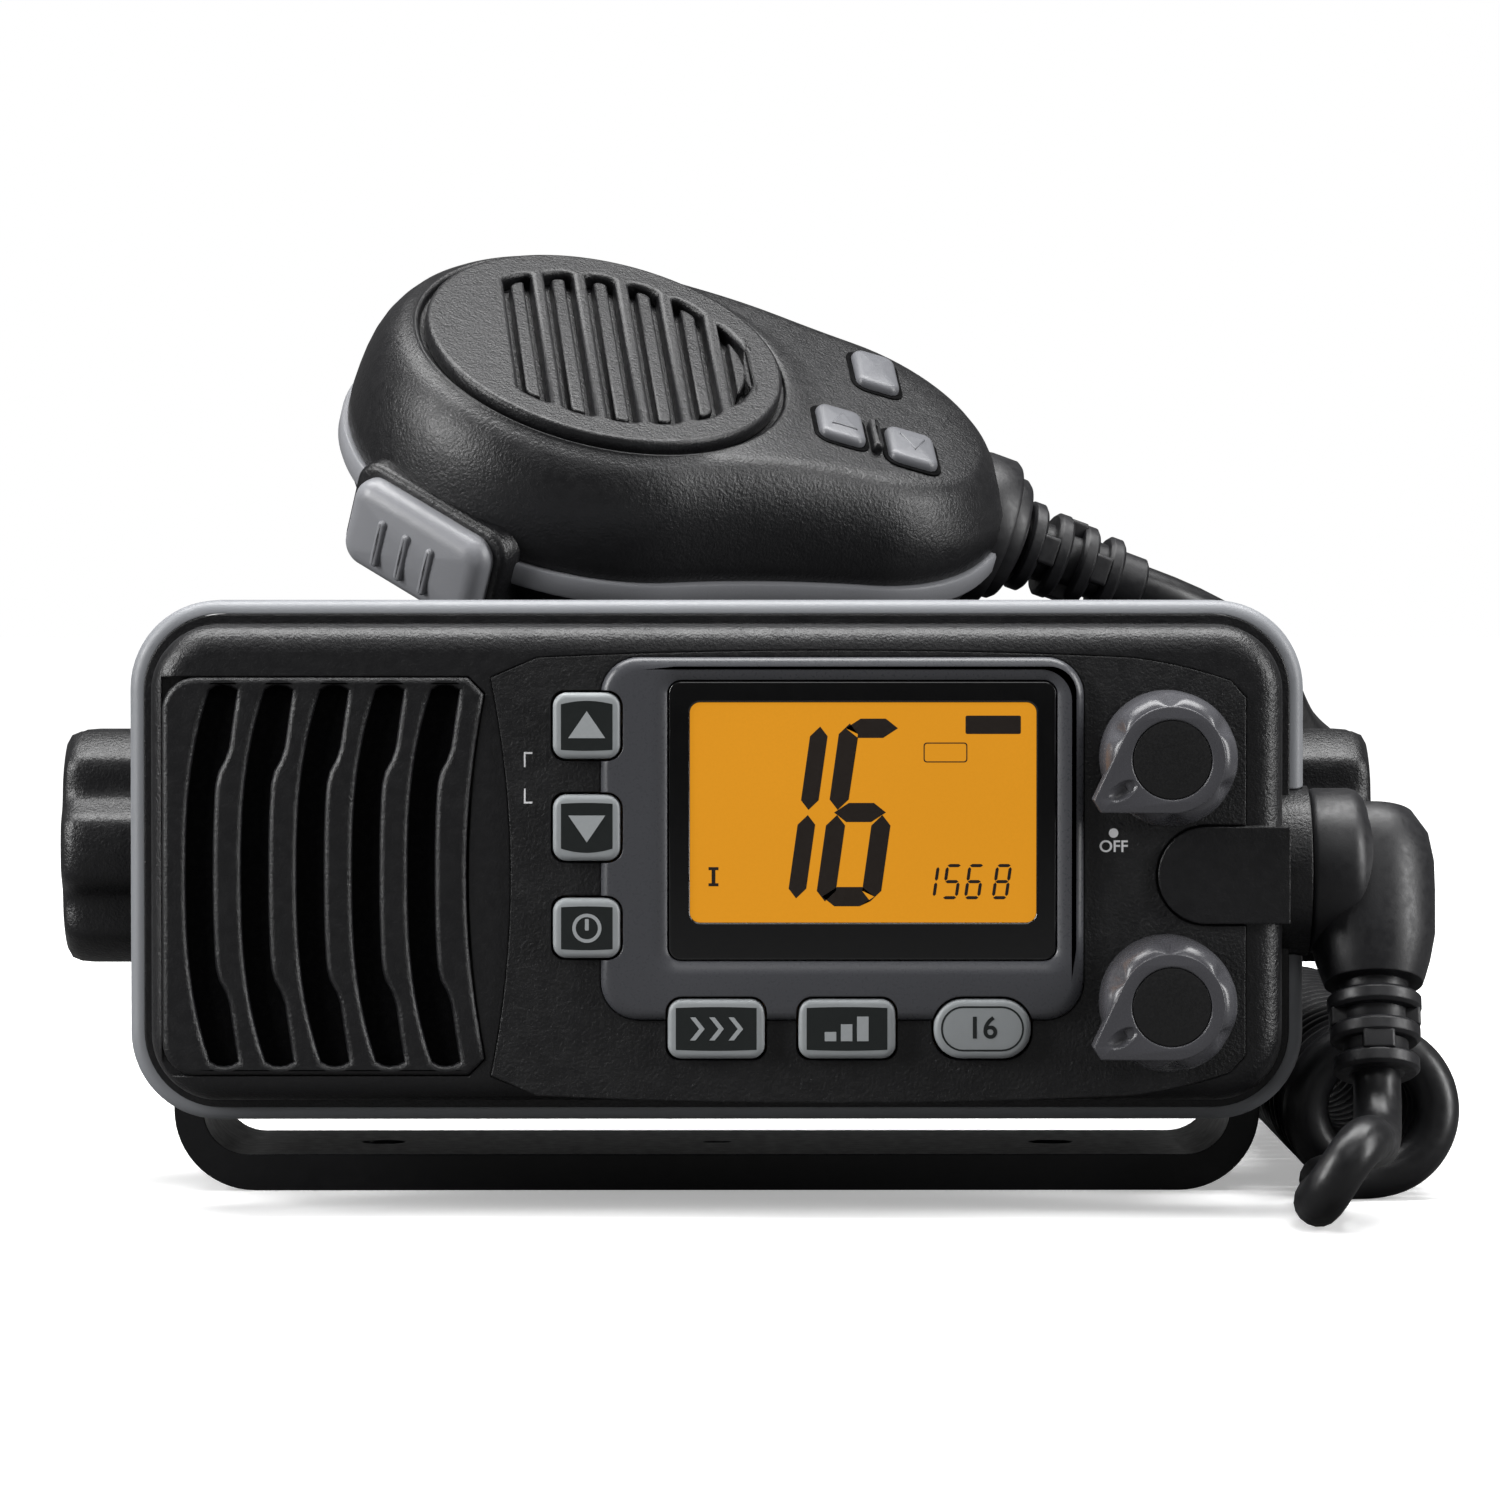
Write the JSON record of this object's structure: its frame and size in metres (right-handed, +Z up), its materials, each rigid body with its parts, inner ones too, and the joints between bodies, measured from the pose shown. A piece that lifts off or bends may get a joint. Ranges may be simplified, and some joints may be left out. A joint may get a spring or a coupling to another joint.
{
  "type": "marine vhf radio",
  "caption": "Fixed marine VHF radio with display, keys, two rotary knobs, speaker grille, tilting U bracket with clamp knobs, and a fist microphone on a curly cord.",
  "frame": {"origin": "centre of the bracket foot's two screw holes, on its underside, where it stands on the table", "axes": "+X to the right of someone who looks at the front, the front panel faces -Y, +Z up"},
  "size_m": [0.1895, 0.1928, 0.1289],
  "materials": {
    "black_moulding": "fine moulded texture, satin",
    "grey_trim": "satin grey moulding",
    "bezel_grey": "satin dark grey paint",
    "clear_lens": "clear window with black border",
    "amber_cell": "amber backlit cell",
    "light_guide": "amber light guide",
    "grey_rubber": "silicone rubber keys",
    "black_rubber": "soft black rubber",
    "circuit_board": "green solder mask",
    "cast_alloy": "black painted die casting",
    "turned_brass": "machined brass",
    "nickel_plate": "bright nickel plate",
    "steel": "plated steel",
    "paper_cone": "treated speaker cone",
    "pvc_cord": "smooth black cord jacket"
  },
  "bodies": {
    "radio": {"front_housing": "black_moulding", "trim_ring": "grey_trim", "speaker_grille": "black_moulding", "control_fascia": "black_moulding", "display_bezel": "bezel_grey", "display_lens": "clear_lens", "lcd_module": "amber_cell", "lcd_backlight": "light_guide", "keypad_membrane": "grey_rubber", "front_circuit_board": "circuit_board", "speaker_basket": "steel", "speaker_cone": "paper_cone", "speaker_magnet": "steel", "volume_control": "steel", "squelch_control": "steel", "housing_gasket": "black_rubber", "rear_chassis": "cast_alloy", "main_circuit_board": "circuit_board", "power_amplifier": "cast_alloy", "antenna_socket": "nickel_plate", "power_lead_gland": "black_rubber", "chassis_screws": "nickel_plate", "pivot_inserts": "turned_brass", "grip_washers": "black_rubber", "microphone_socket": "black_rubber", "mic_plug_boot": "black_rubber", "cord_lower": "pvc_cord", "cord_curl": "pvc_cord", "cord_upper": "pvc_cord"},
    "microphone": {"mic_front_shell": "black_moulding", "mic_band": "grey_trim", "mic_rear_shell": "black_moulding", "mic_grille": "black_moulding", "mic_baffle": "black_moulding", "mic_capsule": "steel", "mic_circuit_board": "circuit_board", "hang_up_stud": "black_moulding", "mic_strain_relief": "black_rubber"},
    "bracket": {"bracket": "black_moulding"},
    "bracket_knob_left": {"bracket_knob_left": "black_moulding"},
    "bracket_knob_right": {"bracket_knob_right": "black_moulding"},
    "volume_knob": {"volume_knob": "black_moulding", "volume_knob_cap": "black_rubber", "volume_shaft": "turned_brass"},
    "squelch_knob": {"squelch_knob": "black_moulding", "squelch_knob_cap": "black_rubber", "squelch_shaft": "turned_brass"},
    "talk_button": {"talk_button": "grey_rubber"},
    "up_key": {"up_key": "grey_rubber"},
    "down_key": {"down_key": "grey_rubber"},
    "watch_key": {"watch_key": "grey_rubber"},
    "scan_key": {"scan_key": "grey_rubber"},
    "channel_key": {"channel_key": "grey_rubber"},
    "calling_key": {"calling_key": "grey_rubber"},
    "mic_power_key": {"mic_power_key": "grey_rubber"},
    "mic_up_key": {"mic_up_key": "grey_rubber"},
    "mic_down_key": {"mic_down_key": "grey_rubber"}
  },
  "joints": [
    {"name": "bracket_tilt", "type": "hinge", "parent": "radio", "child": "bracket", "pos_m": [0, 0, 0.0462], "axis": [1, 0, 0], "range_deg": [-20, 20]},
    {"name": "left_knob_turn", "type": "hinge", "parent": "radio", "child": "bracket_knob_left", "pos_m": [-0.08, 0, 0.0462], "axis": [-1, 0, 0], "continuous": true},
    {"name": "right_knob_turn", "type": "hinge", "parent": "radio", "child": "bracket_knob_right", "pos_m": [0.08, 0, 0.0462], "axis": [1, 0, 0], "continuous": true},
    {"name": "volume_turn", "type": "hinge", "parent": "radio", "child": "volume_knob", "pos_m": [0.0584, -0.06, 0.0601], "axis": [0, 1, 0], "range_deg": [-21, 259]},
    {"name": "squelch_turn", "type": "hinge", "parent": "radio", "child": "squelch_knob", "pos_m": [0.0584, -0.06, 0.02835], "axis": [0, 1, 0], "range_deg": [-16, 264]},
    {"name": "microphone_lift", "type": "slide", "parent": "radio", "child": "microphone", "axis": [0, 0, 1], "range_m": [0, 0.04]},
    {"name": "talk_press", "type": "slide", "parent": "microphone", "child": "talk_button", "axis": [0.5917, 0.7522, 0.2899], "range_m": [0, 0.0022], "stiffness_N_per_m": 900},
    {"name": "up_press", "type": "slide", "parent": "radio", "child": "up_key", "axis": [0, 1, 0], "range_m": [0, 0.001], "stiffness_N_per_m": 500},
    {"name": "down_press", "type": "slide", "parent": "radio", "child": "down_key", "axis": [0, 1, 0], "range_m": [0, 0.001], "stiffness_N_per_m": 500},
    {"name": "watch_press", "type": "slide", "parent": "radio", "child": "watch_key", "axis": [0, 1, 0], "range_m": [0, 0.001], "stiffness_N_per_m": 500},
    {"name": "scan_press", "type": "slide", "parent": "radio", "child": "scan_key", "axis": [0, 1, 0], "range_m": [0, 0.001], "stiffness_N_per_m": 500},
    {"name": "channel_press", "type": "slide", "parent": "radio", "child": "channel_key", "axis": [0, 1, 0], "range_m": [0, 0.001], "stiffness_N_per_m": 500},
    {"name": "calling_press", "type": "slide", "parent": "radio", "child": "calling_key", "axis": [0, 1, 0], "range_m": [0, 0.001], "stiffness_N_per_m": 500},
    {"name": "mic_power_press", "type": "slide", "parent": "microphone", "child": "mic_power_key", "axis": [-0.2173, 0.4951, -0.8412], "range_m": [0, 0.0008], "stiffness_N_per_m": 500},
    {"name": "mic_up_press", "type": "slide", "parent": "microphone", "child": "mic_up_key", "axis": [-0.2173, 0.4951, -0.8412], "range_m": [0, 0.0008], "stiffness_N_per_m": 500},
    {"name": "mic_down_press", "type": "slide", "parent": "microphone", "child": "mic_down_key", "axis": [-0.2173, 0.4951, -0.8412], "range_m": [0, 0.0008], "stiffness_N_per_m": 500}
  ]
}
